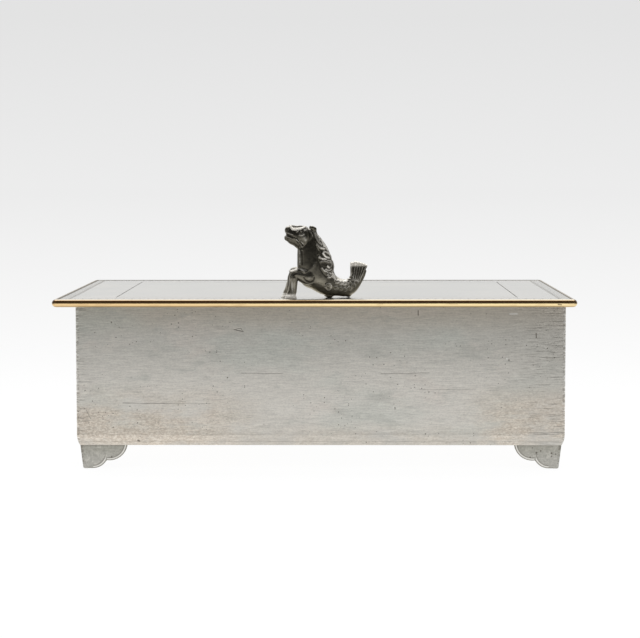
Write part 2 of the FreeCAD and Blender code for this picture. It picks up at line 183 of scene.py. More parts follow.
def finish(tree, colour, height, relief, roughness, metallic=1.0, specular=0.5):
    """Give a material's shader its colour and finish, and a bump of heights in millimetres."""
    bump = add(tree, "Bump", {"Strength": relief, "Distance": 0.001, "Height": height})
    shader = tree.nodes["Principled BSDF"]
    for name, given in (("Base Color", colour), ("Normal", bump.outputs["Normal"]),
                        ("Roughness", roughness), ("Metallic", metallic),
                        ("Specular IOR Level", specular)):
        feed(tree, given, shader.inputs[name])


def new_group(name, inputs, outputs):
    """A node group: its inputs by name, kind and value, and its outputs by name."""
    tree = bpy.data.node_groups.new(name, "ShaderNodeTree")
    for title, kind, value in inputs:
        socket = tree.interface.new_socket(title, in_out="INPUT", socket_type="NodeSocket" + kind)
        if value is not None:
            socket.default_value = value
    for title in outputs:
        tree.interface.new_socket(title, in_out="OUTPUT", socket_type="NodeSocketFloat")
    return tree, tree.nodes.new("NodeGroupInput").outputs, tree.nodes.new("NodeGroupOutput").inputs


def use(tree, group, inputs):
    node = tree.nodes.new("ShaderNodeGroup")
    node.node_tree = group
    for key, given in inputs.items():
        feed(tree, given, node.inputs[key])
    return node.outputs


# Brushing: hair-fine lines along the sheet, with a few deeper ones.
brushing, given, out = new_group(
    "brushing", [("Place", "Vector", None), ("Length", "Float", 0.05), ("Fineness", "Float", 2.4)],
    ["Tone", "Height"])
waves = add(brushing, "CombineXYZ", {0: given["Length"], 1: given["Length"], 2: given["Fineness"]})
fine = noise(brushing, given["Place"], waves.outputs[0], 4.0, 0.65)
longer = vector(brushing, "MULTIPLY", waves.outputs[0], (0.35, 0.35, 0.45))
deep_lines = rise(brushing, noise(brushing, given["Place"], longer, 2.0, 0.5), 0.56, 0.70)
tone = calc(brushing, "MULTIPLY_ADD", deep_lines, -0.10, fine)
feed(brushing, tone, out["Tone"])
feed(brushing, times(brushing, tone, 0.02), out["Height"])

# Pits: small round holes of corrosion that come in clusters.
pitting, given, out = new_group(
    "pitting", [("Place", "Vector", None), ("Cells", "Float", 0.16), ("Size", "Float", 0.10),
                ("Spread", "Float", 0.55)],
    ["Pit"])
cell = add(pitting, "TexVoronoi", {"Vector": given["Place"], "Scale": given["Cells"]})
cell_tone = add(pitting, "SeparateXYZ", {0: cell.outputs["Color"]}).outputs["X"]
cluster = rise(pitting, noise(pitting, given["Place"], (0.03, 0.03, 0.05), 2.0),
               given["Spread"], calc(pitting, "ADD", given["Spread"], 0.12))
width = times(pitting, cell_tone, given["Size"], cluster)
edge = calc(pitting, "SUBTRACT", width, cell.outputs["Distance"])
feed(pitting, rise(pitting, edge, 0.0, 0.03), out["Pit"])

# A stroke: a straight mark on an upright face, between two points along x and z. It is worked
# out in plain numbers, because with twenty strokes in vectors the walls turned black.
stroke, given, out = new_group(
    "stroke", [("X", "Float", 0.0), ("Z", "Float", 0.0), ("From X", "Float", 0.0),
               ("From Z", "Float", 0.0), ("To X", "Float", 0.0), ("To Z", "Float", 0.0),
               ("Half Width", "Float", 0.3)],
    ["Mark"])
step_x = calc(stroke, "SUBTRACT", given["To X"], given["From X"])
step_z = calc(stroke, "SUBTRACT", given["To Z"], given["From Z"])
off_x = calc(stroke, "SUBTRACT", given["X"], given["From X"])
off_z = calc(stroke, "SUBTRACT", given["Z"], given["From Z"])
reach = calc(stroke, "ADD", times(stroke, off_x, step_x), times(stroke, off_z, step_z))
long = calc(stroke, "ADD", times(stroke, step_x, step_x), times(stroke, step_z, step_z))
along = add(stroke, "Clamp", {0: calc(stroke, "DIVIDE", reach, calc(
    stroke, "ADD", long, 1e-6))}).outputs[0]
miss_x = calc(stroke, "SUBTRACT", off_x, times(stroke, step_x, along))
miss_z = calc(stroke, "SUBTRACT", off_z, times(stroke, step_z, along))
miss = calc(stroke, "SQRT", calc(stroke, "ADD", times(stroke, miss_x, miss_x),
                                 times(stroke, miss_z, miss_z)))
feed(stroke, rise(stroke, miss, given["Half Width"], 0.0), out["Mark"])


def strokes(tree, x, z, marks):
    """The strongest of several strokes: from x and z, to x and z, half width, and strength."""
    strongest = 0.0
    for from_x, from_z, to_x, to_z, half_width, strength in marks:
        mark = use(tree, stroke, {"X": x, "Z": z, "From X": from_x, "From Z": from_z,
                                  "To X": to_x, "To Z": to_z, "Half Width": half_width})["Mark"]
        strongest = highest(tree, strongest, times(tree, mark, strength))
    return strongest


sheet_pewter, tree = new_material("sheet_pewter")
place, x, y, z = millimetres(tree)
is_front = rise(tree, y, BOX_FRONT + 2.0, BOX_FRONT + 0.5)

# Painted light and shade on the grey: darker and browner under the lid, where its shade falls on a
# brown patina, and lighter in the lower half, which mirrors the bright table. It is clouded with
# other greys.
grey = coat(tree, SHADED_UPPER_GREY, LIT_LOWER_GREY, rise(tree, z, 66.0, 38.0))
grey = coat(tree, grey, LID_SHADOW_AND_PATINA_BROWN, rise(tree, z, 62.0, 78.0), 0.85)
drift = noise(tree, place, (0.016, 0.016, 0.035), 3.0)
grey = coat(tree, grey, GREENISH, rise(tree, drift, 0.50, 0.68), 0.35)
tint = noise(tree, place, (0.028, 0.028, 0.055), 4.0, 0.6)
grey = coat(tree, grey, ROSY, rise(tree, tint, 0.54, 0.70), 0.30)
clouds = noise(tree, place, (0.06, 0.06, 0.16), 5.0, 0.65)
grey = coat(tree, grey, CLOUD_GREY, rise(tree, clouds, 0.52, 0.68), 0.36)
grey = coat(tree, grey, RIGHT_GREY, rise(tree, x, 66.0, 122.0), 0.30)
# Darker towards the base.
grey = coat(tree, grey, BASE_BAND_GREY, rise(tree, z, 20.0, 14.0), 0.72)

# Warm bare patches in the lower corners and along the base, freckled with cream and tan.
low_ends = times(tree, rise(tree, z, 44.0, 26.0), highest(
    tree, rise(tree, x, 0.0, -72.0), rise(tree, x, 62.0, 92.0)))
low_band = times(tree, rise(tree, z, 24.0, 16.0), 0.5)
patches = rise(tree, noise(tree, place, (0.03, 0.03, 0.08), 5.0, 0.65), 0.32, 0.60)
freckles = rise(tree, noise(tree, place, (0.75, 0.75, 1.5), 3.0, 0.7), 0.36, 0.66)
bare = coat(tree, BARE_TAN, BARE_CREAM, freckles)
grey = coat(tree, grey, bare, times(tree, patches, highest(tree, low_ends, low_band)), 0.78)

# The brushing and a fine speckle over it.
grain = use(tree, brushing, {"Place": place, "Length": 0.20, "Fineness": 2.6})
specks = noise(tree, place, (1.1, 1.1, 1.6), 2.0, 0.7)
tone = swing(tree, specks, 0.5, 0.44, swing(tree, grain["Tone"], 0.46, 0.68, 1.0))
colour = toned(tree, grey, tone)

# Dirt in pits, scratches and scrapes, and the file strokes of the walls' ends, which are dark
# and bright by turns; the bright turns and the front's glints are painted highlights.
pits = use(tree, pitting, {"Place": place, "Cells": 0.60, "Size": 0.20, "Spread": 0.44})["Pit"]
marks = times(tree, strokes(tree, x, z, FRONT_MARKS), is_front)
scrapes = rise(tree, noise(tree, place, (0.30, 0.30, 1.9), 3.0, 0.6), 0.66, 0.76)
teeth = noise(tree, place, (0.45, 0.45, 1.15), 2.0, 0.6)
wall_ends = times(tree, is_front, highest(
    tree, rise(tree, x, BOX_LEFT + 2.2, BOX_LEFT + 0.8),
    rise(tree, x, BOX_RIGHT - 1.8, BOX_RIGHT - 0.6)))
filed = times(tree, is_front, highest(
    tree, rise(tree, x, BOX_LEFT + 12.4, BOX_LEFT + 1.4),
    rise(tree, x, BOX_RIGHT - 36.2, BOX_RIGHT - 1.2)))
filing = rise(tree, noise(tree, place, (0.12, 0.12, 1.6), 2.0), 0.52, 0.68)
seam = times(tree, rise(tree, z, BASE_TOP + 0.6, BASE_TOP + 0.1),
             rise(tree, z, BASE_TOP - 0.4, BASE_TOP))
dirt = highest(tree, times(tree, pits, 0.80), marks, times(tree, scrapes, 0.42),
               times(tree, wall_ends, rise(tree, teeth, 0.50, 0.62), 0.46),
               times(tree, filed, filing, 0.32), times(tree, seam, 0.18))
colour = coat(tree, colour, SHEET_DIRT, dirt)
glints = highest(tree, times(tree, strokes(tree, x, z, FRONT_GLINTS), is_front),
                 times(tree, wall_ends, rise(tree, teeth, 0.46, 0.38), 0.45))
colour = coat(tree, colour, PAINTED_GLINT_WHITE, glints)
finish(tree, colour, calc(tree, "MULTIPLY_ADD", dirt, -0.10, grain["Height"]), 0.6,
       calc(tree, "MULTIPLY_ADD", specks, 0.10, 0.30))
dress(["base_plate", "front_wall", "back_wall", "left_wall", "right_wall"], sheet_pewter)


# Feet
# Four bracket feet, each of a front and a side plate of thicker pewter that leans in. Their
# cusped edge was bevelled, with a painted highlight inside it and painted shade on its bevelled
# faces; pits and dirt sit on their faces.
FOOT_INSET = 1.5
FOOT_UPPER_GREY, FOOT_LOWER_GREY = (0.360, 0.350, 0.308), (0.430, 0.420, 0.382)
FOOT_BLOTCH, FOOT_HIGHLIGHT = (0.620, 0.600, 0.540), (0.880, 0.860, 0.810)
FOOT_DIRT, BEVEL_SHADE_GREY = (0.120, 0.105, 0.085), (0.200, 0.185, 0.150)

# The two rounds of a foot's edge: centre along the plate and its height, radius, and the
# stretch of the plate that each takes.
FOOT_ROUNDS = [(5.8, 7.6, 7.6, 5.8, 12.2), (13.8, 12.7, 8.9, 12.7, 22.6)]

foot_pewter, tree = new_material("foot_pewter")
place, x, y, z = millimetres(tree)
blotch = noise(tree, place, (0.30, 0.30, 0.40), 4.0, 0.65)
grey = coat(tree, FOOT_UPPER_GREY, FOOT_LOWER_GREY, rise(tree, z, 10.5, 4.0))
grey = coat(tree, grey, FOOT_BLOTCH, rise(tree, blotch, 0.50, 0.66), 0.35)
grain = use(tree, brushing, {"Place": place, "Length": 0.25, "Fineness": 1.4})
specks = noise(tree, place, (1.2, 1.2, 1.5), 2.0, 0.7)
tone = swing(tree, specks, 0.5, 0.80, swing(tree, grain["Tone"], 0.46, 0.6, 1.0))
colour = toned(tree, grey, tone)

# Dirt in pits, in the solder under the base and in the nicked outer edges.
pits = use(tree, pitting, {"Place": place, "Cells": 0.42, "Size": 0.26, "Spread": 0.38})["Pit"]
outer = highest(tree, rise(tree, x, BOX_LEFT + 3.8, BOX_LEFT + 2.2),
                rise(tree, x, BOX_RIGHT - 3.8, BOX_RIGHT - 2.2))
dirt = highest(tree, times(tree, pits, 0.75), times(tree, rise(tree, z, 10.4, 11.3), 0.30),
               times(tree, outer, rise(tree, blotch, 0.50, 0.58), 0.65))
colour = coat(tree, colour, FOOT_DIRT, dirt)

# A painted highlight runs inside the rounds of the edge, and a dark line inside it; the bevelled
# faces are painted in shade.
faces = add(tree, "SeparateXYZ", {0: add(tree, "TexCoord").outputs["Normal"]})
across, ahead = (calc(tree, "ABSOLUTE", faces.outputs[axis]) for axis in "XY")
along_x = calc(tree, "MINIMUM", calc(tree, "SUBTRACT", x, BOX_LEFT + FOOT_INSET),
               calc(tree, "SUBTRACT", BOX_RIGHT - FOOT_INSET, x))
along_y = calc(tree, "SUBTRACT", -BOX_FRONT - FOOT_INSET, calc(tree, "ABSOLUTE", y))
along = add(tree, "Mix", {"Factor": calc(tree, "GREATER_THAN", across, 0.7), "A": along_x,
                          "B": along_y}, data_type="FLOAT").outputs["Result"]
highlight_lines, dark_lines = [], []
for centre, centre_height, radius, start, end in FOOT_ROUNDS:
    off = add(tree, "CombineXYZ", {0: calc(tree, "SUBTRACT", along, centre),
                                   2: calc(tree, "SUBTRACT", z, centre_height)}).outputs[0]
    inside = calc(tree, "SUBTRACT", radius, vector(tree, "LENGTH", off))
    span = times(tree, rise(tree, along, start, start + 0.3), rise(tree, along, end, end - 0.3),
                 calc(tree, "LESS_THAN", z, centre_height))
    highlight_lines.append(times(tree, span, rise(tree, inside, 0.40, 0.60),
                              rise(tree, inside, 1.25, 0.95)))
    dark_lines.append(times(tree, span, rise(tree, inside, 1.0, 1.2),
                            rise(tree, inside, 1.9, 1.5)))
colour = coat(tree, colour, FOOT_DIRT, highest(tree, *dark_lines), 0.42)
colour = coat(tree, colour, BEVEL_SHADE_GREY, rise(tree, highest(tree, across, ahead), 0.93, 0.80), 0.675)
colour = coat(tree, colour, FOOT_HIGHLIGHT, highest(tree, *highlight_lines), 0.70)
finish(tree, colour, calc(tree, "MULTIPLY_ADD", pits, -0.10, times(tree, blotch, 0.10)), 0.7, 0.36)
dress([name for name in nodes if name.startswith("foot_")], foot_pewter)


# Hinge
# A drawn brass hinge of five knuckles on one pin, soldered to the back wall and under the lid.
# It is dull, with browner patches.
HINGE_YELLOW, HINGE_BROWN = (0.620, 0.430, 0.190), (0.470, 0.340, 0.160)

hinge_brass, tree = new_material("hinge_brass")
place, x, y, z = millimetres(tree)
drawing = noise(tree, place, (0.05, 2.0, 2.0), 3.0)
tarnish_and_reflection = noise(tree, place, (0.15, 0.3, 0.3), 4.0, 0.6)
colour = coat(tree, HINGE_YELLOW, HINGE_BROWN, rise(tree, tarnish_and_reflection, 0.40, 0.72))
finish(tree, colour, times(tree, drawing, 0.05), 0.4,
       calc(tree, "MULTIPLY_ADD", tarnish_and_reflection, 0.3, 0.22))
dress(["hinge_leaf_box", "hinge_leaf_lid", "hinge_pin"], hinge_brass)


# Lid plate
# A flat pewter sheet with a panel of engraved lines, and round it a border of wriggle-work: a
# zigzag cut with a rocked graver, hatched out to the moulding. Painted shade lies in the crevice
# along the moulding.
LID_HALF_WIDTH, LID_HALF_DEPTH = 125.0, 80.0
LID_TOP = 82.1
LID_GREY, LID_LIGHT_GREY = (0.630, 0.624, 0.588), (0.675, 0.659, 0.612)
GRAVER_AND_SHADE_DARK = (0.130, 0.115, 0.095)
BORDER_IN, ZIGZAG_IN, ZIGZAG_SWING, CREVICE_SHADE_IN = 7.2, 6.9, 1.6, 2.7

lid_pewter, tree = new_material("lid_pewter")
place, x, y, z = millimetres(tree)
turned = add(tree, "VectorRotate", {"Vector": place, "Angle": math.radians(90)},
             rotation_type="X_AXIS").outputs[0]
grain = use(tree, brushing, {"Place": turned, "Length": 0.05, "Fineness": 0.8})
drift = noise(tree, place, (0.02, 0.03, 0.02), 3.0)
colour = coat(tree, LID_GREY, LID_LIGHT_GREY, rise(tree, drift, 0.38, 0.62))
colour = toned(tree, colour, swing(tree, grain["Tone"], 0.46, 0.20, 1.0))

# How far in from the lid's edge a place lies. The left end's border stands a little nearer.
inset = calc(tree, "MINIMUM",
             calc(tree, "SUBTRACT", LID_HALF_WIDTH, calc(tree, "ABSOLUTE", x)),
             calc(tree, "SUBTRACT", LID_HALF_DEPTH, calc(tree, "ABSOLUTE", y)))
left_end = rise(tree, x, -110.0, -118.0)
zigzag = add(tree, "TexWave", {"Vector": place, "Scale": 0.16, "Distortion": 0.0},
             wave_type="BANDS", bands_direction="DIAGONAL", wave_profile="TRI").outputs["Fac"]
zigzag_in = calc(tree, "MULTIPLY_ADD", zigzag, ZIGZAG_SWING, ZIGZAG_IN)
zigzag_in = calc(tree, "MULTIPLY_ADD", times(tree, left_end, rise(tree, y, -70.0, 80.0)), -0.9,
                 zigzag_in)
wriggle = rise(tree, calc(tree, "ABSOLUTE", calc(tree, "SUBTRACT", inset, zigzag_in)), 0.55, 0.15)
hatch = add(tree, "TexWave", {"Vector": place, "Scale": 0.35, "Distortion": 1.5,
                              "Detail": 2.0}, wave_type="BANDS",
            bands_direction="DIAGONAL").outputs["Fac"]
hatching = times(tree, rise(tree, inset, BORDER_IN + 0.2, BORDER_IN - 0.6),
                 rise(tree, hatch, 0.55, 0.85))
dulled = rise(tree, inset, BORDER_IN, BORDER_IN - 0.6)

# The painted crevice shade is thin along the front, from the middle to the left.
crevice_shade_in = calc(tree, "MULTIPLY_ADD", left_end, 0.55, CREVICE_SHADE_IN)
crevice_shade = rise(tree, inset, calc(tree, "ADD", crevice_shade_in, 0.35), crevice_shade_in)
shade_thinned = times(tree, rise(tree, y, -76.0, -77.0), rise(
    tree, calc(tree, "SUBTRACT", x, times(tree, drift, 60.0)), 80.0, 20.0))
crevice_shade = times(tree, crevice_shade, calc(tree, "MULTIPLY_ADD", shade_thinned, -0.85, 1.0))

in_groove = rise(tree, z, LID_TOP - 0.04, LID_TOP - 0.12)
pits = use(tree, pitting, {"Place": place, "Cells": 0.10, "Size": 0.10, "Spread": 0.55})["Pit"]
# The engraving's dark, with painted shade in the crevice by the moulding.
engraving_and_shade = highest(tree, times(tree, wriggle, 0.85), times(tree, hatching, 0.35),
                   times(tree, dulled, 0.06), times(tree, crevice_shade, 0.80),
                   times(tree, in_groove, 0.8))
engraving_and_shade = times(tree, engraving_and_shade, rise(tree, z, LID_TOP - 1.1, LID_TOP - 0.5))
engraving_and_shade = highest(tree, engraving_and_shade, times(tree, pits, 0.5))
colour = coat(tree, colour, GRAVER_AND_SHADE_DARK, engraving_and_shade)
finish(tree, colour, calc(tree, "MULTIPLY_ADD", engraving_and_shade, -0.10, grain["Height"]), 0.35, 0.20,
       calc(tree, "SUBTRACT", 1.0, engraving_and_shade), 0.0)
dress(["lid_plate"], lid_pewter)


# Rim
# Half-round brass moulding in four lengths, soldered round the lid and mitred at the corners. It
# is polished by handling and redder towards the left, with a dark reflection painted along its
# upper slope and painted shade on its underside.
RED_BRASS, YELLOW_BRASS = (0.840, 0.600, 0.310), (0.950, 0.760, 0.420)
SMUDGE_BROWN, UNDERSIDE_SHADE_BROWN = (0.500, 0.320, 0.160), (0.340, 0.220, 0.110)
TOP_GREY, DARK_REFLECTION_RED = (0.500, 0.455, 0.385), (0.460, 0.200, 0.050)
SIDE_LIGHTING_GREY, RIM_DIRT_AND_SHADE = (0.420, 0.380, 0.330), (0.060, 0.035, 0.020)
RIM_NICK = [(115.6, 79.9, 117.2, 79.8, 0.45, 0.9)]

rim_brass, tree = new_material("rim_brass")
place, x, y, z = millimetres(tree)
from_middle = calc(tree, "ABSOLUTE", x)
drift = noise(tree, place, (0.03, 0.03, 0.3), 4.0, 0.6)
rightwards = rise(tree, calc(tree, "MULTIPLY_ADD", drift, 60.0, x), -70.0, 60.0)
colour = coat(tree, RED_BRASS, YELLOW_BRASS, rightwards)
smudge = rise(tree, noise(tree, place, (0.12, 0.12, 0.8), 3.0), 0.52, 0.70)
colour = coat(tree, colour, SMUDGE_BROWN, smudge, 0.30)

# From the top down: a dull top, a painted dark reflection, and an underside painted brown in shade.
colour = coat(tree, colour, TOP_GREY, rise(tree, z, 81.7, 82.1), 0.85)
tarnish_and_reflection = times(tree, rise(tree, z, 80.6, 80.9), rise(tree, z, 82.0, 81.7))
colour = coat(tree, colour, DARK_REFLECTION_RED, tarnish_and_reflection, 0.80)
colour = coat(tree, colour, UNDERSIDE_SHADE_BROWN, rise(tree, z, 79.6, 78.9), 0.70)

# The lengths at the two ends are a greyer, less metallic copy of the brass, painted for the pale
# ground they mirror; the front has one nick, and painted shade darkens the tips at its corners.
ends = times(tree, rise(tree, from_middle, 119.0, 121.5), rise(tree, y, -78.2, -76.0))
colour = coat(tree, colour, SIDE_LIGHTING_GREY, ends, 0.7)
nick = times(tree, strokes(tree, x, z, RIM_NICK), rise(tree, y, -70.0, -76.0))
shaded_tips = times(tree, rise(tree, from_middle, 122.6, 124.2), rise(tree, y, -76.5, -78.0),
             rise(tree, z, 79.6, 80.6), 0.85)
colour = coat(tree, colour, RIM_DIRT_AND_SHADE, highest(tree, nick, shaded_tips))
dents = noise(tree, place, (0.3, 0.3, 0.6), 3.0)
finish(tree, colour, times(tree, dents, 0.12), 0.25,
       calc(tree, "MULTIPLY_ADD", smudge, 0.10, 0.09),
       calc(tree, "MULTIPLY_ADD", ends, -0.55, 1.0), 0.0)
dress(["rim_front", "rim_back", "rim_left", "rim_right"], rim_brass)


# Sea horse
# One casting in pewter, blackened and then rubbed bright on its high places, with painted
# highlights on its crown, ridges, upper faces, fin tips and hoofs. It stands on the lid on its
# forehoofs and belly, held by two pegs. Drawn in millimetres from its own middle.
HORSE_PLACE = (0.0, -0.0627, 0.0821)
HORSE_TURN = math.radians(10)
HORSE_SCALE = (0.001012, 0.00101, 0.00102)
CASTING_GRAIN, SMOOTHING_PASSES = 0.22, 5
HOOF_Y = 3.3
BROW, BROW_BACK, CROWN_FROM = -11.7, -4.3, 30.0
CROWN_RIDGE, CROWN_SLOPE = 34.75, 1.05
PEGS = [(-10.8, -HOOF_Y), (7.2, 0.0)]
PEG_RADIUS, PEG_LENGTH, PEG_MIDDLE = 1.2, 2.4, -0.4
VIEW_TILT = 0.07
DARK_PEWTER, GREY_PEWTER = (0.175, 0.160, 0.126), (0.260, 0.240, 0.190)
RUBBED_AND_HIGHLIGHT_PEWTER, GROOVE_BLACK = (0.940, 0.900, 0.820), (0.040, 0.035, 0.028)

# Each oval of a limb: centre x and z, slope of the spine in degrees, half height, half width.
TRUNK = [
    (-2.3, 31.2, -97, 3.0, 2.4),
    (-1.6, 28.0, -94, 5.0, 3.2),
    (-1.25, 25.2, -90, 6.6, 3.8),
    (-0.65, 22.0, -90, 7.65, 4.4),
    (0.0, 18.0, -88, 8.35, 4.9),
    (0.45, 14.75, -83, 8.7, 5.2),
    (1.7, 9.95, -65, 8.35, 5.2),
    (4.3, 7.5, -56, 6.6, 5.0),
    (6.75, 5.85, -46, 5.8, 4.8),
    (9.3, 4.9, -38, 5.2, 4.5),
    (12.4, 4.6, -22, 4.3, 4.0),
    (15.0, 4.4, -3, 4.1, 3.5),
    (17.2, 5.0, 14, 3.9, 3.0),
    (18.8, 6.3, 32, 3.5, 2.4),
    (20.05, 8.6, 54, 3.35, 1.8),
    (21.0, 11.15, 67, 3.7, 1.3),
    (21.5, 13.6, 76, 3.95, 1.0),
]
HEAD = [
    (1.0, 29.2, 180, 2.6, 1.9),
    (-2.0, 28.2, 180, 4.3, 3.3),
    (-4.0, 28.6, 180, 5.1, 3.6),
    (-6.5, 28.8, 180, 5.4, 3.6),
    (-8.4, 28.7, 180, 5.4, 3.3),
    (-10.1, 29.4, 180, 4.8, 2.9),
    (-11.8, 29.8, 180, 4.4, 2.5),
    (-13.2, 29.95, 180, 3.25, 2.0),
    (-13.7, 30.0, 180, 2.2, 1.5),
]
NEAR_FOREARM = [
    (-0.5, 9.8, 180, 4.2, 1.7),
    (-4.2, 10.1, 180, 3.7, 1.9),
    (-6.6, 10.4, 180, 3.4, 1.9),
    (-8.8, 11.1, 186, 2.8, 1.8),
    (-10.8, 11.8, 200, 1.9, 1.6),
    (-12.0, 11.3, 215, 1.0, 1.0),
]
FAR_FOREARM = [
    (-0.5, 10.0, 180, 4.2, 1.7),
    (-4.2, 10.6, 180, 3.9, 1.9),
    (-6.6, 11.0, 180, 3.5, 1.9),
    (-8.6, 11.8, 186, 2.7, 1.8),
    (-10.2, 12.2, 200, 1.8, 1.6),
    (-11.2, 11.5, 215, 0.9, 0.9),
]
NEAR_SHANK = [
    (-10.5, 12.2, -90, 1.5, 1.5),
    (-10.75, 10.0, -90, 1.95, 1.7),
    (-10.65, 7.6, -90, 1.95, 1.55),
    (-10.95, 5.0, -90, 2.0, 1.5),
    (-11.35, 3.0, -90, 2.2, 1.6),
    (-11.8, 1.6, -90, 2.35, 1.9),
    (-12.0, 0.0, -90, 3.0, 2.3),
]
FAR_SHANK = [
    (-10.2, 12.2, -90, 1.4, 1.4),
    (-10.6, 10.0, -90, 1.75, 1.6),
    (-11.0, 7.6, -90, 1.65, 1.5),
    (-11.8, 5.0, -90, 1.7, 1.5),
    (-12.6, 3.0, -90, 1.9, 1.6),
    (-12.9, 1.6, -90, 2.0, 1.9),
    (-13.3, 0.0, -90, 2.6, 2.2),
]
# Round forms: centre, half sizes along x, y and z, and a turn in the plane of the picture.
KNOBS = [
    ((-12.7, 0.0, 32.1), (1.65, 1.75, 1.85), 20),
    ((-13.1, 0.0, 28.3), (1.5, 1.35, 1.5), -20),
    ((-1.2, -1.9, 33.0), (1.25, 0.75, 1.0), 25),
    ((-1.2, 1.9, 33.0), (1.25, 0.75, 1.0), 25),
    ((-0.2, -1.7, 32.3), (1.0, 0.9, 1.3), 0),
    ((-0.2, 1.7, 32.3), (1.0, 0.9, 1.3), 0),
    ((7.0, 0.0, 0.9), (2.3, 2.5, 0.95), 0),
    ((16.4, 0.0, 1.3), (1.5, 1.6, 1.3), 0),
]
# Fin ribs: root x and z, tip x and z, radius at the tip.
FIN_RIBS = [
    (18.0, 9.4, 18.0, 15.9, 0.85),
    (18.9, 9.0, 19.7, 16.3, 0.85),
    (19.6, 8.6, 21.0, 16.1, 0.8),
    (20.3, 8.3, 22.3, 15.8, 0.8),
    (21.0, 8.2, 23.7, 15.4, 0.8),
    (21.7, 8.2, 24.85, 14.8, 0.8),
]


def between(stations, steps):
    """Stations on a smooth curve through the given ones."""
    points = [Vector(station) for station in stations]
    points = [2 * points[0] - points[1]] + points + [2 * points[-1] - points[-2]]
    for i in range(1, len(points) - 2):
        before, start, end, after = points[i - 1:i + 3]
        for step in range(steps):
            t = step / steps
            yield (start * (1 - t) ** 2 * (1 + 2 * t) + end * t ** 2 * (3 - 2 * t)
                   + (end - before) * t * (1 - t) ** 2 / 2 - (after - start) * t ** 2 * (1 - t) / 2)
    yield points[-2]


def limb(form, stations, across=0.0):
    """A rounded bar through ovals that stand square to its spine."""
    last_edges = None
    ovals = list(between(stations, 4))
    for number, (x, z, slope, high, wide) in enumerate(ovals):
        angle = math.radians(slope)
        oval = Matrix(((-math.sin(angle) * high, 0, math.cos(angle), x),
                       (0, wide, 0, across),
                       (math.cos(angle) * high, 0, math.sin(angle), z),
                       (0, 0, 0, 1)))
        ring = bmesh.ops.create_circle(form, cap_ends=number in (0, len(ovals) - 1), radius=1.0,
                                       segments=32, matrix=oval)
        edges = list({edge for vert in ring["verts"] for edge in vert.link_edges})
        if last_edges:
            bmesh.ops.bridge_loops(form, edges=last_edges + edges)
        last_edges = edges


casting = bmesh.new()
limb(casting, TRUNK)
limb(casting, HEAD)
limb(casting, NEAR_FOREARM, -HOOF_Y)
limb(casting, FAR_FOREARM, HOOF_Y)
limb(casting, NEAR_SHANK, -HOOF_Y)
limb(casting, FAR_SHANK, HOOF_Y)
for centre, half_sizes, turn in KNOBS:
    knob = (Matrix.Translation(centre) @ Matrix.Rotation(math.radians(turn), 4, "Y")
            @ Matrix.Diagonal(half_sizes).to_4x4())
    bmesh.ops.create_uvsphere(casting, u_segments=24, v_segments=16, radius=1.0, matrix=knob)
for root_x, root_z, tip_x, tip_z, radius in FIN_RIBS:
    slope = math.degrees(math.atan2(tip_z - root_z, tip_x - root_x))
    limb(casting, [(root_x, root_z, slope, 0.5, 1.1), (tip_x, tip_z, slope, radius, 1.15)])
    bmesh.ops.create_uvsphere(
        casting, u_segments=16, v_segments=12, radius=1.0,
        matrix=Matrix.Translation((tip_x, 0, tip_z))
        @ Matrix.Rotation(math.radians(90 - slope), 4, "Y")
        @ Matrix.Diagonal((radius, 1.15, radius * 1.1)).to_4x4())
bmesh.ops.recalc_face_normals(casting, faces=casting.faces)

# The mould's parts run into one skin.
rough_mesh = bpy.data.meshes.new("casting_rough")
casting.to_mesh(rough_mesh)
casting.free()
rough = bpy.data.objects.new("casting_rough", rough_mesh)
bpy.context.scene.collection.objects.link(rough)
skin = rough.modifiers.new("skin", "REMESH")
skin.mode = "VOXEL"
skin.voxel_size = CASTING_GRAIN
skin.use_smooth_shade = True
horse_mesh = bpy.data.meshes.new_from_object(
    rough.evaluated_get(bpy.context.evaluated_depsgraph_get()))
bpy.data.objects.remove(rough)
bpy.data.meshes.remove(rough_mesh)

casting = bmesh.new()
casting.from_mesh(horse_mesh)
for _ in range(SMOOTHING_PASSES):
    bmesh.ops.smooth_vert(casting, verts=casting.verts, factor=0.5, use_axis_x=True,
                          use_axis_y=True, use_axis_z=True)
casting.to_mesh(horse_mesh)
casting.free()

